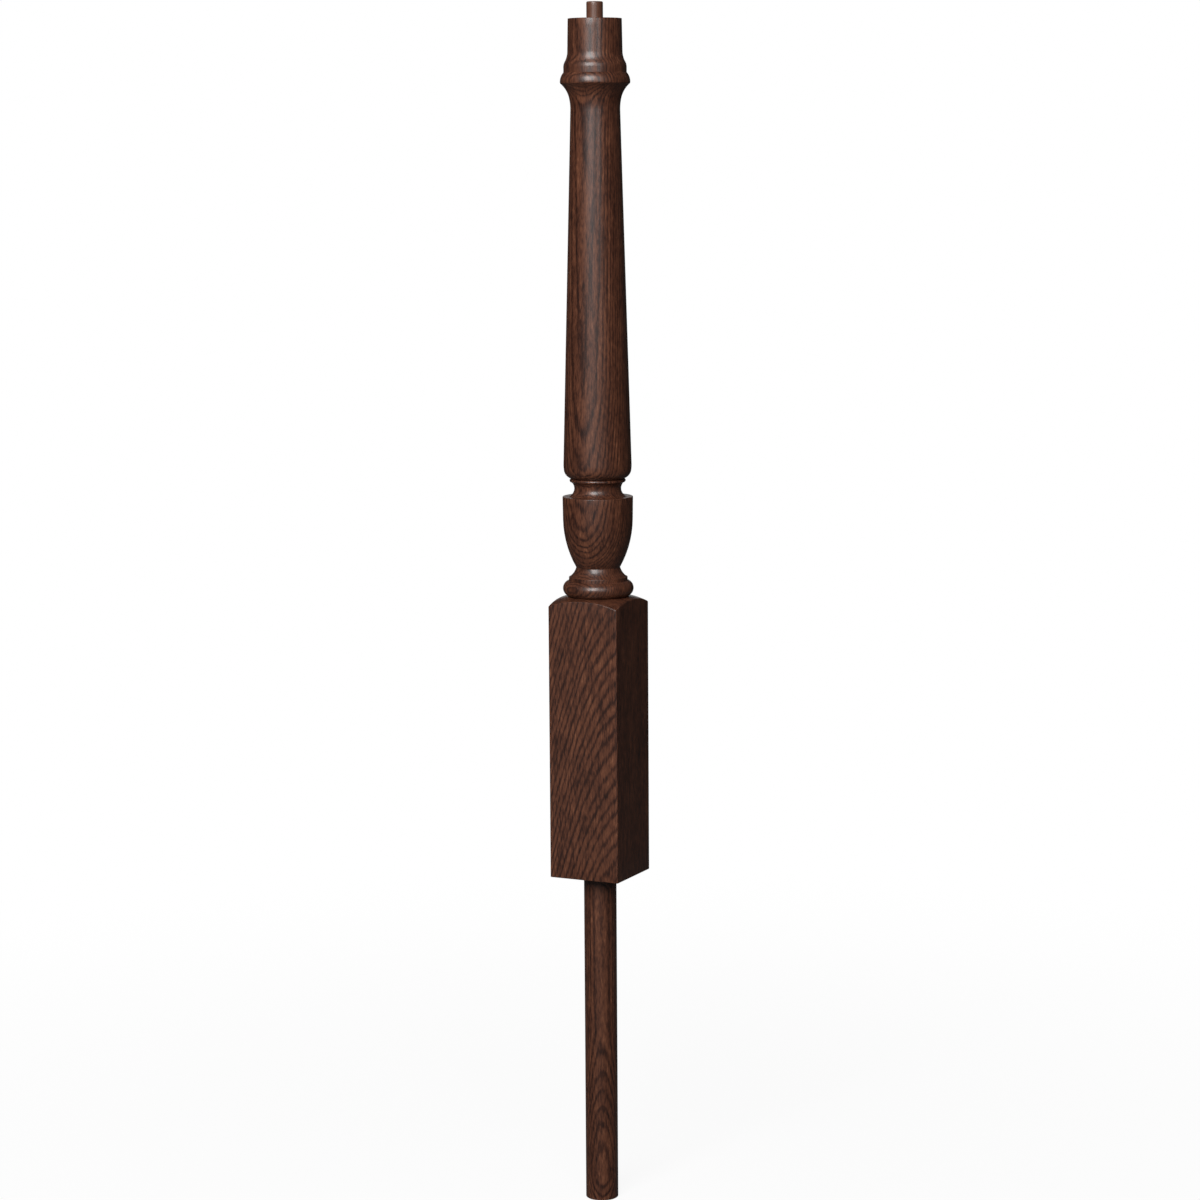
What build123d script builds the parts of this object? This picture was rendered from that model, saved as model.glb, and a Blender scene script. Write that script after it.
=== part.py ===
from build123d import *
import os
from math import cos, radians, sin, sqrt

# Volute newel post, in millimetres: one square billet of hardwood, turned round above
# and below a square block. It stands on the starting tread of a stair. The dowel goes
# down through the tread, and the pin on top goes up into the volute of the handrail.
# The origin is the middle of the block's underside, and +Z runs up along the axis.

# Overall sizes
RAIL_SEAT_HEIGHT = 863.6
BLOCK_WIDTH = 76.2
BLOCK_CORNER_HEIGHT = 278.5

# Dowel below the block and pin above the neck
DOWEL_RADIUS = 16.65
DOWEL_LENGTH = 342.9
PIN_RADIUS = 8.25
PIN_LENGTH = 16.5

# Shoulder, where the turning meets the square block
SHOULDER_RISE = 8.7
SHOULDER_CROWN = 1.2

# Foot: a round bead, a fillet band and a cove under the cup
BASE_BEAD_RADIUS = 35.75
BASE_BEAD_HEIGHT = 16.1
FOOT_FILLET_RADIUS = 29.7
FOOT_FILLET_HEIGHT = 3.5
FOOT_FILLET_LIP = 0.8
FOOT_COVE_HEIGHT = 9.7
FOOT_COVE_DEPTH = 1.0

# Cup: a bowl with a nearly upright wall and a flat top
CREASE_RADIUS = 22.2
CUP_RADIUS = 35.6
CUP_HEIGHT = 72.0
CUP_WALL_HEIGHT = 23.3
CUP_WALL_LEAN = 0.35

# Necking: a deep cove on the cup, under a thin ring
NECKING_FOOT_RADIUS = 29.3
THROAT_RADIUS = 23.65
THROAT_HEIGHT = 8.5
NECKING_HEIGHT = 14.45
RING_RADIUS = 28.3
RING_HEIGHT = 3.7

# Long taper with a rounded base
TAPER_FOOT_RADIUS = 34.35
TAPER_FOOT_HEIGHT = 14.8
TAPER_FOOT_EASE_RADIUS = 36.6
TAPER_FOOT_EASE_TURN = 10.2
TAPER_TOP_RADIUS = 24.8

# Collar: a cove that rises to an arris, a bead, a band and an ogee up to the neck
COLLAR_COVE_HEIGHT = 26.6
COLLAR_EASE_RADIUS = 50.0
COLLAR_EASE_TURN = 13.6
ARRIS_RADIUS = 34.89
BEAD_HEIGHT = 10.6
BEAD_ARC_RADIUS = 13.8
BAND_RADIUS = 31.45
BAND_HEIGHT = 5.2
OGEE_HEIGHT = 15.5
OGEE_SPLIT = 0.34

# Neck under the rail seat
NECK_HEIGHT = 32.1
NECK_FOOT_RADIUS = 27.4
NECK_TOP_RADIUS = 26.8

# Small roundings and chamfers that take off the sharp edges
BLOCK_ARRIS_ROUND = 1.2
BLOCK_FOOT_CHAMFER = 0.8
DOWEL_END_CHAMFER = 1.0
RIM_CHAMFER = 0.5
COLLAR_ARRIS_ROUND = 0.8
NECK_TOP_CHAMFER = 0.5
PIN_END_CHAMFER = 1.2

# Heights above the tread, stacked up from the block
SHOULDER_TOP = BLOCK_CORNER_HEIGHT + SHOULDER_RISE
FILLET_FOOT = SHOULDER_TOP + BASE_BEAD_HEIGHT
FILLET_TOP = FILLET_FOOT + FOOT_FILLET_HEIGHT
CREASE = FILLET_TOP + FOOT_COVE_HEIGHT
CUP_TOP = CREASE + CUP_HEIGHT
RING_FOOT = CUP_TOP + NECKING_HEIGHT
RING_TOP = RING_FOOT + RING_HEIGHT
TAPER_FOOT = RING_TOP + TAPER_FOOT_HEIGHT

# Heights above the tread, stacked down from the rail seat
NECK_FOOT = RAIL_SEAT_HEIGHT - NECK_HEIGHT
BAND_TOP = NECK_FOOT - OGEE_HEIGHT
BAND_FOOT = BAND_TOP - BAND_HEIGHT
ARRIS = BAND_FOOT - BEAD_HEIGHT
TAPER_TOP = ARRIS - COLLAR_COVE_HEIGHT

PIN_TOP = RAIL_SEAT_HEIGHT + PIN_LENGTH
DOWEL_END = -DOWEL_LENGTH
BLOCK_CORNER_RADIUS = BLOCK_WIDTH / sqrt(2)

UP = (0, 1)
DOWN = (0, -1)


def turn_to_the_right(start, heading, radius, turn):
    """End point and heading of an arc that leaves start along heading and curves right."""
    x, y = heading
    turned = (x * cos(turn) + y * sin(turn), y * cos(turn) - x * sin(turn))
    end = (
        start[0] + radius * (y - turned[1]),
        start[1] + radius * (turned[0] - x),
    )
    return end, turned


def direction(start, end):
    """Unit heading from one point to another."""
    length = sqrt((end[0] - start[0]) ** 2 + (end[1] - start[1]) ** 2)
    return (end[0] - start[0]) / length, (end[1] - start[1]) / length


def dowel_and_block_edges():
    """Axis at the dowel's end, up the dowel, and out round the block to its corners."""
    return Polyline(
        (0, DOWEL_END),
        (DOWEL_RADIUS, DOWEL_END),
        (DOWEL_RADIUS, 0),
        (BLOCK_CORNER_RADIUS, 0),
        (BLOCK_CORNER_RADIUS, BLOCK_CORNER_HEIGHT),
    ).edges()


def shoulder_edges():
    """Crowned shoulder from the block's corners in to the base bead."""
    corner = (BLOCK_CORNER_RADIUS, BLOCK_CORNER_HEIGHT)
    return [SagittaArc(corner, (FOOT_FILLET_RADIUS, SHOULDER_TOP), -SHOULDER_CROWN)]


def foot_edges():
    """Base bead, fillet band and the cove that rises to the crease under the cup."""
    bead_nose = (BASE_BEAD_RADIUS, SHOULDER_TOP + BASE_BEAD_HEIGHT / 2)
    fillet_foot = (FOOT_FILLET_RADIUS, FILLET_FOOT)
    fillet_top = (FOOT_FILLET_RADIUS, FILLET_TOP)
    cove_foot = (FOOT_FILLET_RADIUS - FOOT_FILLET_LIP, FILLET_TOP)
    return [
        ThreePointArc((FOOT_FILLET_RADIUS, SHOULDER_TOP), bead_nose, fillet_foot),
        Line(fillet_foot, fillet_top),
        Line(fillet_top, cove_foot),
        SagittaArc(cove_foot, (CREASE_RADIUS, CREASE), FOOT_COVE_DEPTH),
    ]


def cup_edges():
    """Bowl from the crease, up the wall and in over the flat top."""
    rim = (CUP_RADIUS, CUP_TOP)
    wall_foot = (CUP_RADIUS - CUP_WALL_LEAN, CUP_TOP - CUP_WALL_HEIGHT)
    return [
        TangentArc(wall_foot, (CREASE_RADIUS, CREASE), tangent=direction(rim, wall_foot)),
        Line(wall_foot, rim),
        Line(rim, (NECKING_FOOT_RADIUS, CUP_TOP)),
    ]


def necking_edges():
    """Deep cove on the cup and the half-round ring above it."""
    ring_root = RING_RADIUS - RING_HEIGHT / 2
    throat = (THROAT_RADIUS, CUP_TOP + THROAT_HEIGHT)
    ring_foot = (ring_root, RING_FOOT)
    ring_nose = (RING_RADIUS, RING_FOOT + RING_HEIGHT / 2)
    return [
        ThreePointArc((NECKING_FOOT_RADIUS, CUP_TOP), throat, ring_foot),
        ThreePointArc(ring_foot, ring_nose, (ring_root, RING_TOP)),
    ]


def taper_edges():
    """Rounded base, the long straight taper and the easing into the collar's cove."""
    foot = (TAPER_FOOT_RADIUS, TAPER_FOOT)
    top = (TAPER_TOP_RADIUS, TAPER_TOP)
    arris = (ARRIS_RADIUS, ARRIS)
    ring_root = (RING_RADIUS - RING_HEIGHT / 2, RING_TOP)

    downwards = direction(top, foot)
    foot_turn = radians(TAPER_FOOT_EASE_TURN)
    eased_foot, foot_heading = turn_to_the_right(foot, downwards, TAPER_FOOT_EASE_RADIUS, foot_turn)

    upwards = direction(foot, top)
    top_turn = radians(COLLAR_EASE_TURN)
    eased_top, top_heading = turn_to_the_right(top, upwards, COLLAR_EASE_RADIUS, top_turn)

    return [
        TangentArc(eased_foot, ring_root, tangent=foot_heading),
        TangentArc(foot, eased_foot, tangent=downwards),
        Line(foot, top),
        TangentArc(top, eased_top, tangent=upwards),
        TangentArc(eased_top, arris, tangent=top_heading),
    ]


def collar_edges():
    """Bead, fillet band and ogee, from the arris up to the neck."""
    arris = (ARRIS_RADIUS, ARRIS)
    band_foot = (BAND_RADIUS, BAND_FOOT)
    band_top = (BAND_RADIUS, BAND_TOP)
    neck_foot = (NECK_FOOT_RADIUS, NECK_FOOT)
    inflection = (
        BAND_RADIUS + OGEE_SPLIT * (NECK_FOOT_RADIUS - BAND_RADIUS),
        BAND_TOP + OGEE_SPLIT * OGEE_HEIGHT,
    )
    return [
        RadiusArc(arris, band_foot, -BEAD_ARC_RADIUS),
        Line(band_foot, band_top),
        TangentArc(band_top, inflection, tangent=UP),
        TangentArc(neck_foot, inflection, tangent=DOWN),
    ]


def neck_and_pin_edges():
    """Neck, rail seat, pin and the way back down the axis."""
    return Polyline(
        (NECK_FOOT_RADIUS, NECK_FOOT),
        (NECK_TOP_RADIUS, RAIL_SEAT_HEIGHT),
        (PIN_RADIUS, RAIL_SEAT_HEIGHT),
        (PIN_RADIUS, PIN_TOP),
        (0, PIN_TOP),
        (0, DOWEL_END),
    ).edges()


def corner_of(face, corner):
    """The profile's vertex at a named corner."""
    return face.vertices().sort_by_distance(Vector(*corner))[0]


def turning_profile():
    """Half section of the turned post, right of its axis, without its sharp corners."""
    profile = make_face(
        dowel_and_block_edges()
        + shoulder_edges()
        + foot_edges()
        + cup_edges()
        + necking_edges()
        + taper_edges()
        + collar_edges()
        + neck_and_pin_edges()
    )
    profile = chamfer(corner_of(profile, (DOWEL_RADIUS, DOWEL_END)), DOWEL_END_CHAMFER)
    profile = chamfer(corner_of(profile, (CUP_RADIUS, CUP_TOP)), RIM_CHAMFER)
    profile = fillet(corner_of(profile, (ARRIS_RADIUS, ARRIS)), COLLAR_ARRIS_ROUND)
    profile = chamfer(corner_of(profile, (NECK_TOP_RADIUS, RAIL_SEAT_HEIGHT)), NECK_TOP_CHAMFER)
    return chamfer(corner_of(profile, (PIN_RADIUS, PIN_TOP)), PIN_END_CHAMFER)


def square_billet():
    """The sawn billet that the post is turned from, its long edges lightly rounded."""
    section = RectangleRounded(BLOCK_WIDTH, BLOCK_WIDTH, BLOCK_ARRIS_ROUND)
    return extrude(Plane.XY.offset(DOWEL_END) * section, PIN_TOP - DOWEL_END)


def newel_post():
    """The turned shape cut from the billet, whose four faces are left on the block."""
    turning = revolve(Plane.XZ * turning_profile(), Axis.Z)
    post = (turning & square_billet()).solid()
    block_underside = post.faces().filter_by(Plane.XY).sort_by(lambda face: abs(face.center().Z))[0]
    return chamfer(block_underside.outer_wire().edges(), BLOCK_FOOT_CHAMFER).solid()


os.makedirs("parts", exist_ok=True)
export_step(newel_post(), "parts/newel_post.step")
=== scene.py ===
from math import asin, atan, atan2, cos, degrees, hypot, pi, radians, sin, sqrt, tan

import bpy
import numpy as np
from mathutils import Matrix, Vector


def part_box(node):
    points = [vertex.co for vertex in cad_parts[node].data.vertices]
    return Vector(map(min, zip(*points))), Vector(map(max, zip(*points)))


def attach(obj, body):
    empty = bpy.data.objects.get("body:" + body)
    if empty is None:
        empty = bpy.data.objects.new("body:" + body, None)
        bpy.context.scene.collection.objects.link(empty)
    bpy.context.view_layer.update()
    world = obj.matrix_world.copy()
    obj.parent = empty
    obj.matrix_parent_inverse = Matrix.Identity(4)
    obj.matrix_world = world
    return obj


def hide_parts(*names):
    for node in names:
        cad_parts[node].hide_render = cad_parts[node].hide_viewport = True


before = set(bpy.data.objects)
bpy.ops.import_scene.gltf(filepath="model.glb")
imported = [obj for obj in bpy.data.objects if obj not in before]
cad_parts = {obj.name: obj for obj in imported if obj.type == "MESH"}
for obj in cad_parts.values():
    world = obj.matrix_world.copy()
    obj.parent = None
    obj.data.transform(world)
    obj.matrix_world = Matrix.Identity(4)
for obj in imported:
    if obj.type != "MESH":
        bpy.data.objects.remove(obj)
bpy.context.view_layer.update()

# A volute newel post in dark-stained, satin-lacquered hardwood. The post is one closed
# mesh in metres, turned from the same outline as the CAD solid. Its wood is a solid
# texture of growth rings, so the figure runs true from the turned parts to the flat faces.

MM = 0.001

# Overall sizes, read from the frame
post_low, post_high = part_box("newel_post")
DOWEL_END = post_low.z
PIN_TOP = post_high.z
HALF_BLOCK = post_high.x
RAIL_SEAT = PIN_TOP - 16.5 * MM

# Dowel below the block and pin above the neck
DOWEL_RADIUS = 16.65 * MM
PIN_RADIUS = 8.25 * MM

# Shoulder, where the turning meets the square block
BLOCK_CORNER_HEIGHT = 278.5 * MM
BLOCK_CORNER_RADIUS = HALF_BLOCK * sqrt(2)
SHOULDER_TOP = BLOCK_CORNER_HEIGHT + 8.7 * MM
SHOULDER_CROWN = 1.2 * MM

# Foot: base bead, fillet band and cove, stacked up from the shoulder
BASE_BEAD_RADIUS = 35.75 * MM
FOOT_FILLET_RADIUS = 29.7 * MM
FOOT_FILLET_LIP = 0.8 * MM
FOOT_COVE_DEPTH = 1.0 * MM
FILLET_FOOT = SHOULDER_TOP + 16.1 * MM
FILLET_TOP = FILLET_FOOT + 3.5 * MM
CREASE = FILLET_TOP + 9.7 * MM

# Cup
CREASE_RADIUS = 22.2 * MM
CUP_RADIUS = 35.6 * MM
CUP_WALL_LEAN = 0.35 * MM
CUP_WALL_HEIGHT = 23.3 * MM
CUP_TOP = CREASE + 72.0 * MM

# Necking and ring above the cup
NECKING_FOOT_RADIUS = 29.3 * MM
THROAT_RADIUS = 23.65 * MM
THROAT_HEIGHT = 8.5 * MM
RING_RADIUS = 28.3 * MM
RING_HEIGHT = 3.7 * MM
RING_ROOT = RING_RADIUS - RING_HEIGHT / 2
RING_FOOT = CUP_TOP + 14.45 * MM
RING_TOP = RING_FOOT + RING_HEIGHT

# Collar and neck, stacked down from the rail seat
NECK_FOOT_RADIUS = 27.4 * MM
NECK_TOP_RADIUS = 26.8 * MM
BAND_RADIUS = 31.45 * MM
ARRIS_RADIUS = 34.89 * MM
BEAD_ARC_RADIUS = 13.8 * MM
OGEE_HEIGHT = 15.5 * MM
OGEE_SPLIT = 0.34
NECK_FOOT = RAIL_SEAT - 32.1 * MM
BAND_TOP = NECK_FOOT - OGEE_HEIGHT
BAND_FOOT = BAND_TOP - 5.2 * MM
ARRIS = BAND_FOOT - 10.6 * MM

# Long taper between the ring and the collar
TAPER_FOOT_RADIUS = 34.35 * MM
TAPER_FOOT = RING_TOP + 14.8 * MM
TAPER_FOOT_EASE_RADIUS = 36.6 * MM
TAPER_FOOT_EASE_TURN = radians(10.2)
TAPER_TOP_RADIUS = 24.8 * MM
TAPER_TOP = ARRIS - 26.6 * MM
COLLAR_EASE_RADIUS = 50.0 * MM
COLLAR_EASE_TURN = radians(13.6)

# How far each outer edge is rounded over by sanding and lacquer
BLOCK_ARRIS_ROUND = 1.2 * MM
BLOCK_FOOT_ROUND = 0.8 * MM
SHOULDER_EDGE_ROUND = 0.7 * MM
DOWEL_END_ROUND = 1.0 * MM
FILLET_EDGE_ROUND = 0.35 * MM
RIM_ROUND = 0.6 * MM
COLLAR_ARRIS_ROUND = 0.7 * MM
NECK_TOP_ROUND = 0.6 * MM
PIN_END_ROUND = 1.4 * MM

# Fineness of the mesh
FACE_COLUMNS = 52
ARRIS_COLUMNS = 8
ARC_STEP = radians(4)
EDGE_STEPS = 4


# Outline: points are (radius, height), and every stroke runs up the post

def heading(start, end):
    """Direction from one point to another, as an angle."""
    return atan2(end[1] - start[1], end[0] - start[0])


def arc(start, end, half_turn):
    """Arc from start to end. A positive half turn makes it bulge out, away from the axis."""
    chord = hypot(end[0] - start[0], end[1] - start[1])
    steps = max(4, round(abs(2 * half_turn) / ARC_STEP))
    share = np.linspace(0, 1, steps + 1)
    reach = chord * np.sin(half_turn * share) / sin(half_turn)
    turned = heading(start, end) - half_turn * (1 - share)
    return np.column_stack([start[0] + reach * np.cos(turned), start[1] + reach * np.sin(turned)])


def line(start, end, steps=1):
    return np.linspace(start, end, steps + 1)


def crowned(start, end, sagitta):
    """Arc whose middle stands sagitta out from its chord."""
    chord = hypot(end[0] - start[0], end[1] - start[1])
    return arc(start, end, 2 * atan(2 * sagitta / chord))


def leaving(start, end, start_heading):
    """Arc that leaves start along a heading."""
    return arc(start, end, heading(start, end) - start_heading)


def arriving(start, end, end_heading):
    """Arc that arrives at end along a heading."""
    return arc(start, end, end_heading - heading(start, end))


def through(start, middle, end):
    """Arc through three points."""
    bend = heading(start, middle) - heading(middle, end)
    return arc(start, end, -bend)


def turned_away(start, start_heading, radius, turn):
    """Where an arc ends, and its heading there, after it curves in towards the right."""
    x = start[0] + radius * (sin(start_heading) - sin(start_heading - turn))
    y = start[1] + radius * (cos(start_heading - turn) - cos(start_heading))
    return (x, y), start_heading - turn


def foot_strokes():
    """Base bead, fillet band and cove, up to the crease under the cup."""
    bead_foot = (FOOT_FILLET_RADIUS, SHOULDER_TOP)
    bead_top = (FOOT_FILLET_RADIUS, FILLET_FOOT)
    band_top = (FOOT_FILLET_RADIUS, FILLET_TOP)
    cove_foot = (FOOT_FILLET_RADIUS - FOOT_FILLET_LIP, FILLET_TOP)
    return [
        crowned(bead_foot, bead_top, BASE_BEAD_RADIUS - FOOT_FILLET_RADIUS),
        line(bead_top, band_top),
        line(band_top, cove_foot),
        crowned(cove_foot, (CREASE_RADIUS, CREASE), -FOOT_COVE_DEPTH),
    ]


def cup_strokes():
    """Bowl, wall and flat top."""
    rim = (CUP_RADIUS, CUP_TOP)
    wall_foot = (CUP_RADIUS - CUP_WALL_LEAN, CUP_TOP - CUP_WALL_HEIGHT)
    return [
        arriving((CREASE_RADIUS, CREASE), wall_foot, heading(wall_foot, rim)),
        line(wall_foot, rim, 3),
        line(rim, (NECKING_FOOT_RADIUS, CUP_TOP), 3),
    ]


def necking_strokes():
    """Deep cove on the cup and the half-round ring above it."""
    throat = (THROAT_RADIUS, CUP_TOP + THROAT_HEIGHT)
    return [
        through((NECKING_FOOT_RADIUS, CUP_TOP), throat, (RING_ROOT, RING_FOOT)),
        crowned((RING_ROOT, RING_FOOT), (RING_ROOT, RING_TOP), RING_HEIGHT / 2),
    ]


def taper_strokes():
    """Rounded base, long taper and the cove that rises to the collar's arris."""
    foot = (TAPER_FOOT_RADIUS, TAPER_FOOT)
    top = (TAPER_TOP_RADIUS, TAPER_TOP)
    upwards = heading(foot, top)
    eased_foot, down = turned_away(foot, upwards + pi, TAPER_FOOT_EASE_RADIUS, TAPER_FOOT_EASE_TURN)
    eased_top, out = turned_away(top, upwards, COLLAR_EASE_RADIUS, COLLAR_EASE_TURN)
    return [
        arriving((RING_ROOT, RING_TOP), eased_foot, down - pi),
        arriving(eased_foot, foot, upwards),
        line(foot, top, 24),
        leaving(top, eased_top, upwards),
        leaving(eased_top, (ARRIS_RADIUS, ARRIS), out),
    ]


def collar_strokes():
    """Bead, band and ogee, up to the neck."""
    band_foot = (BAND_RADIUS, BAND_FOOT)
    band_top = (BAND_RADIUS, BAND_TOP)
    neck_foot = (NECK_FOOT_RADIUS, NECK_FOOT)
    inflection = (
        BAND_RADIUS + OGEE_SPLIT * (NECK_FOOT_RADIUS - BAND_RADIUS),
        BAND_TOP + OGEE_SPLIT * OGEE_HEIGHT,
    )
    bead_chord = hypot(ARRIS_RADIUS - BAND_RADIUS, BAND_FOOT - ARRIS)
    return [
        arc((ARRIS_RADIUS, ARRIS), band_foot, asin(bead_chord / (2 * BEAD_ARC_RADIUS))),
        line(band_foot, band_top),
        leaving(band_top, inflection, pi / 2),
        arriving(inflection, neck_foot, pi / 2),
    ]


def neck_strokes():
    """Neck, rail seat and pin."""
    neck_top = (NECK_TOP_RADIUS, RAIL_SEAT)
    return [
        line((NECK_FOOT_RADIUS, NECK_FOOT), neck_top, 4),
        line(neck_top, (PIN_RADIUS, RAIL_SEAT), 5),
        line((PIN_RADIUS, RAIL_SEAT), (PIN_RADIUS, PIN_TOP), 4),
        line((PIN_RADIUS, PIN_TOP), (PIN_RADIUS / 3, PIN_TOP), 3),
    ]


def trimmed(stroke, corner, cut):
    """The stroke without its points nearer to the corner than cut, and with one at that distance."""
    away = np.hypot(*(stroke - corner).T)
    kept = stroke[away > cut * 1.02]
    nearest = kept[np.argmin(np.hypot(*(kept - corner).T))]
    step = nearest - corner
    added = corner + step * cut / np.hypot(*step)
    at_start = away[0] < away[-1]
    return np.vstack([added, kept]) if at_start else np.vstack([kept, added])


def rounded_edge(before, corner, after):
    """Points between before and after, along a smooth curve that corner pulls outwards."""
    share = np.linspace(0, 1, EDGE_STEPS + 1)[1:-1, None]
    return (1 - share) ** 2 * before + 2 * share * (1 - share) * corner + share ** 2 * after


def eased_outline(strokes, edges):
    """All strokes as one line of points. Corners at the named edges are rounded over."""
    for index in range(len(strokes) - 1):
        corner = strokes[index][-1].copy()
        cuts = [cut for place, cut in edges if np.hypot(*(corner - place)) < 0.01 * MM]
        if cuts:
            strokes[index] = trimmed(strokes[index], corner, cuts[0])
            strokes[index + 1] = trimmed(strokes[index + 1], corner, cuts[0])
            curve = rounded_edge(strokes[index][-1], corner, strokes[index + 1][0])
            strokes[index] = np.vstack([strokes[index], curve])
        else:
            strokes[index] = strokes[index][:-1]
    return np.vstack(strokes)


def turned_outline():
    """Outline of the turning from the base bead up to the pin's end."""
    strokes = (
        foot_strokes()
        + cup_strokes()
        + necking_strokes()
        + taper_strokes()
        + collar_strokes()
        + neck_strokes()
    )
    edges = [
        ((FOOT_FILLET_RADIUS, FILLET_TOP), FILLET_EDGE_ROUND),
        ((CUP_RADIUS, CUP_TOP), RIM_ROUND),
        ((ARRIS_RADIUS, ARRIS), COLLAR_ARRIS_ROUND),
        ((NECK_TOP_RADIUS, RAIL_SEAT), NECK_TOP_ROUND),
        ((PIN_RADIUS, PIN_TOP), PIN_END_ROUND),
    ]
    return eased_outline(strokes, edges)


# Block: its rings follow the rounded square of the billet instead of a circle

def column_angles():
    """Angles of the mesh's columns: even across each flat face, closer round each arris."""
    edge = atan2(HALF_BLOCK - BLOCK_ARRIS_ROUND, HALF_BLOCK)
    quarter = np.concatenate([
        np.linspace(-edge, edge, FACE_COLUMNS, endpoint=False),
        np.linspace(edge, pi / 2 - edge, ARRIS_COLUMNS, endpoint=False),
    ])
    return np.concatenate([quarter + side * pi / 2 for side in range(4)])


def billet_reach(angles, inset=0.0):
    """Distance from the axis to the billet's rounded square section, at each angle."""
    half = HALF_BLOCK - inset
    rounding = BLOCK_ARRIS_ROUND - inset
    arris_centre = half - rounding
    from_face = np.abs((angles + pi / 4) % (pi / 2) - pi / 4)
    along = arris_centre * (np.cos(from_face) + np.sin(from_face))
    aside = arris_centre * (np.cos(from_face) - np.sin(from_face))
    on_arris = along + np.sqrt(np.maximum(rounding ** 2 - aside ** 2, 0))
    return np.where(from_face > atan2(arris_centre, half), on_arris, half / np.cos(from_face))


def shoulder_height(radius):
    """Height of the crowned shoulder at a distance from the axis."""
    run = BLOCK_CORNER_RADIUS - FOOT_FILLET_RADIUS
    rise = SHOULDER_TOP - BLOCK_CORNER_HEIGHT
    chord = hypot(run, rise)
    crown = (chord ** 2 / 4 + SHOULDER_CROWN ** 2) / (2 * SHOULDER_CROWN)
    back = crown - SHOULDER_CROWN
    centre_radius = BLOCK_CORNER_RADIUS - run / 2 - back * rise / chord
    centre_height = BLOCK_CORNER_HEIGHT + rise / 2 - back * run / chord
    return centre_height + np.sqrt(crown ** 2 - (radius - centre_radius) ** 2)


def dowel_rings():
    """Dowel's end and side, up to the block's underside."""
    outline = eased_outline(
        [
            line((DOWEL_RADIUS / 4, DOWEL_END), (DOWEL_RADIUS, DOWEL_END), 4),
            line((DOWEL_RADIUS, DOWEL_END), (DOWEL_RADIUS, 0), 24),
        ],
        [((DOWEL_RADIUS, DOWEL_END), DOWEL_END_ROUND)],
    )
    return [(radius, height) for radius, height in outline]


def block_rings(angles):
    """Underside, sides and shoulder of the block."""
    reach = billet_reach(angles)
    inner = billet_reach(angles, BLOCK_FOOT_ROUND)
    rings = [(DOWEL_RADIUS + (inner - DOWEL_RADIUS) * share, 0) for share in np.linspace(0.3, 1, 4)]
    for turn in np.linspace(0, pi / 2, EDGE_STEPS + 1)[1:]:
        inset = BLOCK_FOOT_ROUND * (1 - sin(turn))
        rings.append((billet_reach(angles, inset), BLOCK_FOOT_ROUND * (1 - cos(turn))))

    edge_height = shoulder_height(reach)
    side_top = edge_height - SHOULDER_EDGE_ROUND
    for share in np.linspace(0, 1, 13)[1:]:
        rings.append((reach, BLOCK_FOOT_ROUND + (side_top - BLOCK_FOOT_ROUND) * share))

    eased = reach - SHOULDER_EDGE_ROUND
    eased_height = shoulder_height(eased)
    for share in np.linspace(0, 1, EDGE_STEPS + 1)[1:-1]:
        side, edge, top = (1 - share) ** 2, 2 * share * (1 - share), share ** 2
        rings.append((
            (side + edge) * reach + top * eased,
            side * side_top + edge * edge_height + top * eased_height,
        ))
    for share in np.linspace(0, 1, 15)[:-1]:
        radius = eased + (FOOT_FILLET_RADIUS - eased) * share
        rings.append((radius, shoulder_height(radius)))
    return rings


def post_mesh():
    """One closed mesh: rings of points from the dowel's end up to the pin's end."""
    angles = column_angles()
    columns = len(angles)
    rings = dowel_rings() + block_rings(angles) + [tuple(point) for point in turned_outline()]
    radii = np.array([np.broadcast_to(radius, columns) for radius, _ in rings])
    heights = np.array([np.broadcast_to(height, columns) for _, height in rings])
    points = np.stack([radii * np.cos(angles), radii * np.sin(angles), heights], axis=-1)
    points = points.reshape(-1, 3).tolist()

    faces = []
    for ring in range(len(rings) - 1):
        low, high = ring * columns, (ring + 1) * columns
        for column in range(columns):
            after = (column + 1) % columns
            faces.append((low + column, low + after, high + after, high + column))
    bottom, top = len(points), len(points) + 1
    last = (len(rings) - 1) * columns
    for column in range(columns):
        after = (column + 1) % columns
        faces.append((bottom, after, column))
        faces.append((top, last + column, last + after))
    points += [(0, 0, DOWEL_END), (0, 0, PIN_TOP)]

    mesh = bpy.data.meshes.new("newel_post_wood")
    mesh.from_pydata(points, [], faces)
    mesh.shade_smooth()
    mesh.set_sharp_from_angle(angle=radians(32))
    return mesh


# Wood

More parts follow.
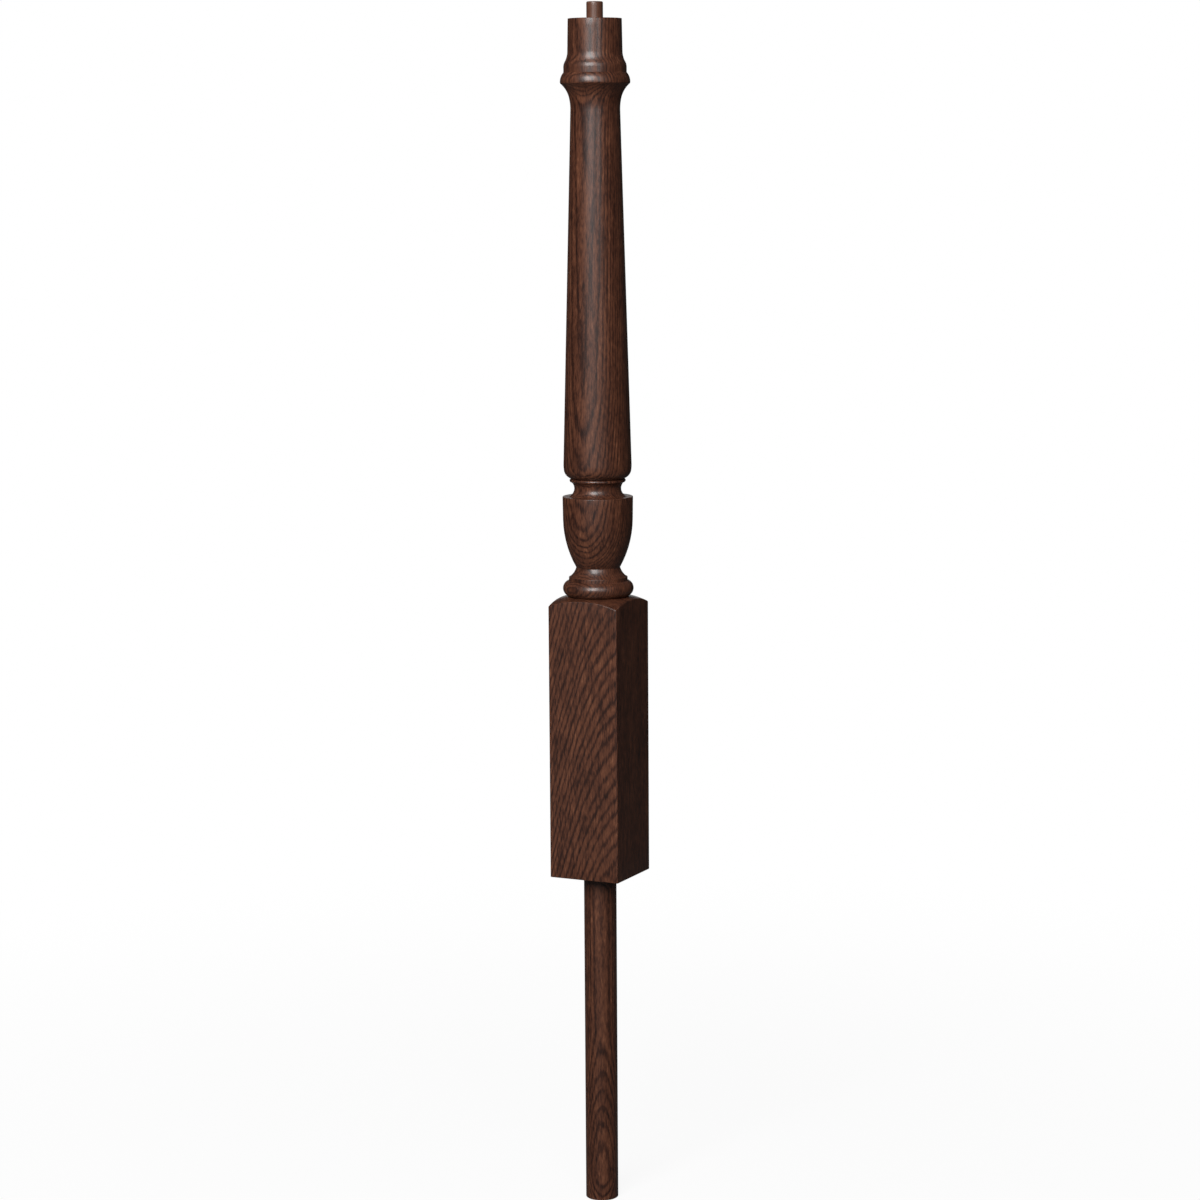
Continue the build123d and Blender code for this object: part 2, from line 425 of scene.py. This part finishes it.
class Shader:
    """Short calls that add nodes to a material or world and link them."""

    def __init__(self, tree):
        self.tree = tree
        tree.nodes.clear()

    def node(self, kind, inputs=(), **settings):
        made = self.tree.nodes.new(kind)
        for name, value in settings.items():
            setattr(made, name, value)
        for name, value in dict(inputs).items():
            if isinstance(value, bpy.types.NodeSocket):
                self.tree.links.new(value, made.inputs[name])
            else:
                made.inputs[name].default_value = value
        return made

    def math(self, operation, first, second=0.0, third=0.0):
        made = self.node(
            "ShaderNodeMath", {0: first, 1: second, 2: third}, operation=operation
        )
        return made.outputs[0]

    def scaled(self, vector, factors):
        made = self.node("ShaderNodeVectorMath", {0: vector, 1: factors}, operation="MULTIPLY")
        return made.outputs[0]

    def noise(self, vector, across, along, detail=2.0, roughness=0.5):
        """Noise about 0, from -1 to 1, whose patches are across by along, in millimetres."""
        stretched = self.scaled(vector, (1 / across, 1 / across, 1 / along))
        made = self.node(
            "ShaderNodeTexNoise",
            {"Vector": stretched, "Scale": 1.0, "Detail": detail, "Roughness": roughness},
        )
        return self.math("MULTIPLY_ADD", made.outputs["Fac"], 2.0, -1.0)

    def step(self, value, low, high, to_low=0.0, to_high=1.0):
        """Smooth change from to_low to to_high as value goes from low to high."""
        made = self.node(
            "ShaderNodeMapRange",
            {0: value, 1: low, 2: high, 3: to_low, 4: to_high},
            interpolation_type="SMOOTHSTEP",
        )
        return made.outputs[0]

    def mix(self, factor, first, second, blend="MIX"):
        made = self.node("ShaderNodeMix", data_type="RGBA", blend_type=blend)
        for socket, value in ((made.inputs[0], factor), (made.inputs[6], first), (made.inputs[7], second)):
            if isinstance(value, bpy.types.NodeSocket):
                self.tree.links.new(value, socket)
            else:
                socket.default_value = value
        return made.outputs[2]

    def ramp(self, value, stops):
        made = self.node("ShaderNodeValToRGB", {0: value})
        elements = made.color_ramp.elements
        while len(elements) < len(stops):
            elements.new(0.5)
        for element, (place, colour) in zip(elements, stops):
            element.position = place
            element.color = colour
        return made.outputs[0]


def srgb(red, green, blue):
    """Linear colour with full alpha, from 0 to 255 display values."""
    def linear(value):
        share = value / 255
        return share / 12.92 if share <= 0.04045 else ((share + 0.055) / 1.055) ** 2.4
    return (linear(red), linear(green), linear(blue), 1.0)


# Growth rings, in millimetres: the pith runs behind the post, along the far side from -Y
RING_SPACING = 2.35
PITH_BEHIND = 125.0
PITH_SIDE_DOWEL = -71.0
PITH_SIDE_BLOCK = 58.0
BLOCK_SLOPE = 0.14
CUP_SLOPE = 0.085
TAPER_SLOPE = 0.038


def ring_level(shader, place):
    """How far out from the pith a point lies, in rings, with the rings' natural wander."""
    warped = shader.node(
        "ShaderNodeVectorMath",
        {0: place, 1: shader.node("ShaderNodeCombineXYZ", {
            0: shader.math("MULTIPLY", shader.noise(place, 50, 240, detail=1.0), 2.0),
            1: shader.math("MULTIPLY", shader.noise(place, 6, 45, detail=3.0), 0.8),
        }).outputs[0]},
        operation="ADD",
    ).outputs[0]
    split = shader.node("ShaderNodeSeparateXYZ", {0: warped}).outputs
    x, y, z = split["X"], split["Y"], split["Z"]

    to_block = shader.step(z, -16, 2, PITH_SIDE_DOWEL, PITH_SIDE_BLOCK)
    pith_side = shader.math("ADD", to_block, shader.step(z, 283, 335, 0, -PITH_SIDE_BLOCK))

    def distance(across, behind):
        squares = shader.math("MULTIPLY_ADD", across, across, shader.math("MULTIPLY", behind, behind))
        return shader.math("SQRT", squares)

    from_pith = distance(shader.math("SUBTRACT", x, pith_side), shader.math("SUBTRACT", y, PITH_BEHIND))
    axis_from_pith = distance(pith_side, PITH_BEHIND)
    outward = shader.math("SUBTRACT", from_pith, axis_from_pith)

    def rising(foot, top, slope):
        climb = shader.math("MINIMUM", shader.math("MAXIMUM", shader.math("SUBTRACT", z, foot), 0.0), top - foot)
        return shader.math("MULTIPLY", climb, slope)

    rise = shader.math(
        "ADD", rising(0, 290, BLOCK_SLOPE),
        shader.math("ADD", rising(290, 490, CUP_SLOPE), rising(490, 900, TAPER_SLOPE)),
    )
    dowel_rise = shader.step(z, -318, -150, 15, 0)
    dowel_end_fall = shader.step(z, -350, -316, -6, 0)
    level = shader.math("ADD", shader.math("ADD", outward, rise),
                        shader.math("ADD", dowel_rise, dowel_end_fall))

    growth = shader.node(
        "ShaderNodeTexNoise", {"W": shader.math("MULTIPLY", level, 1 / 9), "Scale": 1.0, "Detail": 1.0},
        noise_dimensions="1D",
    ).outputs["Fac"]
    uneven = shader.math("MULTIPLY_ADD", growth, 2.6, level)
    return shader.math("DIVIDE", uneven, RING_SPACING)


def stained_wood():
    """Open-grained hardwood under a dark walnut stain and a satin lacquer."""
    material = bpy.data.materials.new("stained_wood")
    material.use_nodes = True
    shader = Shader(material.node_tree)
    coordinates = shader.node("ShaderNodeTexCoord").outputs["Object"]
    place = shader.scaled(coordinates, (1 / MM, 1 / MM, 1 / MM))

    rings = ring_level(shader, place)
    phase = shader.math("FRACT", rings)
    band = shader.ramp(phase, [
        (0.0, (0.30, 0.30, 0.30, 1)),
        (0.06, (0.0, 0.0, 0.0, 1)),
        (0.20, (0.05, 0.05, 0.05, 1)),
        (0.36, (0.80, 0.80, 0.80, 1)),
        (0.60, (1.0, 1.0, 1.0, 1)),
        (0.88, (0.86, 0.86, 0.86, 1)),
        (1.0, (0.30, 0.30, 0.30, 1)),
    ])
    each_ring = shader.node(
        "ShaderNodeTexWhiteNoise", {"W": shader.math("FLOOR", rings)}, noise_dimensions="1D"
    ).outputs["Value"]
    faded = shader.math("MULTIPLY_ADD", shader.noise(place, 9, 40), 0.40, 0.34)

    fibres = shader.noise(place, 0.6, 9, detail=3.0, roughness=0.65)
    dashes = shader.noise(place, 1.3, 7, detail=2.0, roughness=0.6)
    streaks = shader.noise(place, 1.9, 50, detail=2.0)
    clouds = shader.noise(place, 14, 45, detail=2.0)

    tone = shader.math("MULTIPLY_ADD", band, faded, 0.22)
    tone = shader.math("MULTIPLY_ADD", each_ring, 0.10, tone)
    tone = shader.math("MULTIPLY_ADD", fibres, 0.22, tone)
    tone = shader.math("MULTIPLY_ADD", dashes, 0.60, tone)
    tone = shader.math("MULTIPLY_ADD", streaks, 0.26, tone)
    tone = shader.math("MULTIPLY_ADD", clouds, 0.08, tone)

    colour = shader.ramp(tone, [
        (0.0, srgb(30, 13, 8)),
        (0.28, srgb(52, 26, 16)),
        (0.55, srgb(82, 47, 32)),
        (0.80, srgb(100, 60, 41)),
        (1.0, srgb(124, 80, 57)),
    ])

    pores = shader.noise(place, 0.5, 5.5, detail=1.0)
    open_pores = shader.step(pores, 0.22, 0.48)
    pore_band = shader.math("MULTIPLY_ADD", shader.math("SUBTRACT", 1.0, band), 0.70, 0.30)
    pitted = shader.math("MULTIPLY", open_pores, pore_band)
    colour = shader.mix(shader.math("MULTIPLY", pitted, 0.55), colour, srgb(26, 12, 8))

    above_seat = shader.step(
        shader.node("ShaderNodeSeparateXYZ", {0: coordinates}).outputs["Z"],
        RAIL_SEAT, RAIL_SEAT + 0.3 * MM,
    )
    colour = shader.mix(shader.math("MULTIPLY", above_seat, 0.6), colour, srgb(100, 66, 52))

    height = shader.math("MULTIPLY_ADD", pitted, -0.8, shader.math("MULTIPLY", fibres, 0.12))
    bump = shader.node(
        "ShaderNodeBump", {"Height": height, "Strength": 0.35, "Distance": 0.08 * MM}
    ).outputs[0]
    roughness = shader.math("MULTIPLY_ADD", pitted, 0.12, 0.42)
    surface = shader.node(
        "ShaderNodeBsdfPrincipled",
        {
            "Base Color": colour,
            "Roughness": roughness,
            "IOR": 1.46,
            "Normal": bump,
            "Coat Weight": 0.30,
            "Coat Roughness": 0.20,
            "Coat Normal": bump,
        },
    ).outputs[0]
    shader.node("ShaderNodeOutputMaterial", {"Surface": surface})
    return material


# Studio

CAMERA_AZIMUTH = radians(25.8)
CAMERA_ELEVATION = radians(7.99)
CAMERA_DISTANCE = 3.3216
CAMERA_TARGET = Vector((0, 0, 0.28265))
CAMERA_ROLL = radians(0.37)
IMAGE_WIDTH = 1200
FOCAL_PIXELS = 3277.0
AXIS_LEFT_OF_MIDDLE = 1.57
SENSOR_WIDTH = 36.0

KEY_AZIMUTH = radians(5)
KEY_DISTANCE = 3.0
KEY_HEIGHT = 2.2
KEY_SIZE = (1.7, 2.0)
KEY_POWER = 140.0
STRIP_AZIMUTH = radians(40)
STRIP_DISTANCE = 2.4
STRIP_HEIGHT = 1.5
STRIP_SIZE = (0.55, 1.5)
STRIP_POWER = 10.0
ROOM_FILL = 0.13
ROOM_GLOSS = 0.03


def from_front(azimuth, distance, height):
    """Point at a distance from the post's axis. Azimuth 0 is straight in front, on -Y."""
    return Vector((sin(azimuth) * distance, -cos(azimuth) * distance, height))


def add_camera():
    """Camera fitted to the photograph, with its slight roll."""
    back = Vector((
        sin(CAMERA_AZIMUTH) * cos(CAMERA_ELEVATION),
        -cos(CAMERA_AZIMUTH) * cos(CAMERA_ELEVATION),
        sin(CAMERA_ELEVATION),
    ))
    level_right = Vector((0, 0, 1)).cross(back).normalized()
    level_up = back.cross(level_right)
    right = level_right * cos(CAMERA_ROLL) - level_up * sin(CAMERA_ROLL)
    up = level_up * cos(CAMERA_ROLL) + level_right * sin(CAMERA_ROLL)
    data = bpy.data.cameras.new("camera")
    data.sensor_width = SENSOR_WIDTH
    data.lens = FOCAL_PIXELS * SENSOR_WIDTH / IMAGE_WIDTH
    data.shift_x = AXIS_LEFT_OF_MIDDLE / IMAGE_WIDTH
    camera = bpy.data.objects.new("camera", data)
    axes = Matrix((right, up, back)).transposed().to_4x4()
    camera.matrix_world = Matrix.Translation(CAMERA_TARGET + back * CAMERA_DISTANCE) @ axes
    bpy.context.collection.objects.link(camera)
    bpy.context.scene.camera = camera


def add_softbox(name, place, target, size, power):
    """Soft rectangular lamp that faces a target. The camera doesn't see it."""
    data = bpy.data.lights.new(name, "AREA")
    data.shape = "RECTANGLE"
    data.size, data.size_y = size
    data.energy = power
    lamp = bpy.data.objects.new(name, data)
    lamp.location = place
    lamp.rotation_euler = (target - place).to_track_quat("-Z", "Y").to_euler()
    lamp.visible_camera = False
    bpy.context.collection.objects.link(lamp)


def shows_background(shader, direction):
    """1 for camera rays, and for glossy and transmission rays that run on behind the post."""
    path = shader.node("ShaderNodeLightPath").outputs
    forward = (-sin(CAMERA_AZIMUTH), cos(CAMERA_AZIMUTH), 0)
    ahead = shader.node("ShaderNodeVectorMath", {0: direction, 1: forward}, operation="DOT_PRODUCT")
    behind = shader.step(ahead.outputs["Value"], cos(radians(12)), cos(radians(5)))
    through = shader.math("MAXIMUM", path["Is Glossy Ray"], path["Is Transmission Ray"])
    return shader.math("MAXIMUM", path["Is Camera Ray"], shader.math("MULTIPLY", through, behind))


def add_world():
    """White background, with a low even fill for the post."""
    world = bpy.data.worlds.new("studio")
    world.use_nodes = True
    bpy.context.scene.world = world
    shader = Shader(world.node_tree)
    direction = shader.node("ShaderNodeTexCoord").outputs["Generated"]
    shown = shows_background(shader, direction)
    glossy = shader.node("ShaderNodeLightPath").outputs["Is Glossy Ray"]
    dim = shader.math("MULTIPLY_ADD", glossy, ROOM_GLOSS - ROOM_FILL, ROOM_FILL)
    strength = shader.math("MAXIMUM", shown, dim)
    light = shader.node("ShaderNodeBackground", {"Color": (1, 1, 1, 1), "Strength": strength}).outputs[0]
    shader.node("ShaderNodeOutputWorld", {"Surface": light})


def floor_material():
    """Pale floor that shows nearly white and keeps the post's shadow."""
    material = bpy.data.materials.new("pale_floor")
    material.use_nodes = True
    shader = Shader(material.node_tree)
    place = shader.node("ShaderNodeTexCoord").outputs["Object"]
    flat = shader.scaled(place, (1, 1, 0))
    distance = shader.node("ShaderNodeVectorMath", {0: flat}, operation="LENGTH").outputs["Value"]
    direction = shader.node("ShaderNodeVectorMath", {0: flat}, operation="NORMALIZE").outputs[0]
    shown = shows_background(shader, direction)
    colour = shader.mix(shown, (0.10, 0.10, 0.10, 1), (0.90, 0.90, 0.90, 1))
    matt = shader.node("ShaderNodeBsdfDiffuse", {"Color": colour}).outputs[0]
    white = shader.node("ShaderNodeEmission", {"Color": (1, 1, 1, 1), "Strength": 1.0}).outputs[0]
    share = shader.math("MULTIPLY", shown, shader.step(distance, 0.2, 1.6, 0.92, 1.0))
    surface = shader.node("ShaderNodeMixShader", {0: share, 1: matt, 2: white}).outputs[0]
    shader.node("ShaderNodeOutputMaterial", {"Surface": surface})
    return material


def add_floor():
    """Wide round floor under the dowel's end."""
    mesh = bpy.data.meshes.new("floor")
    edge = [(12 * cos(turn), 12 * sin(turn), DOWEL_END) for turn in np.linspace(0, 2 * pi, 65)[:-1]]
    mesh.from_pydata(edge, [], [tuple(range(64))])
    floor = bpy.data.objects.new("floor", mesh)
    floor.data.materials.append(floor_material())
    bpy.context.collection.objects.link(floor)


def add_post():
    """The post itself, standing for the CAD solid."""
    post = bpy.data.objects.new("newel_post_wood", post_mesh())
    post.data.materials.append(stained_wood())
    bpy.context.collection.objects.link(post)
    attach(post, "root")
    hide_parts("newel_post")


add_post()
add_floor()
add_world()
add_softbox(
    "key", from_front(KEY_AZIMUTH, KEY_DISTANCE, KEY_HEIGHT), Vector((0, 0, 0.35)), KEY_SIZE, KEY_POWER
)
add_softbox(
    "strip", from_front(STRIP_AZIMUTH, STRIP_DISTANCE, STRIP_HEIGHT), Vector((0, 0, 0.35)), STRIP_SIZE,
    STRIP_POWER,
)
add_camera()

bpy.context.scene.view_settings.view_transform = "Standard"
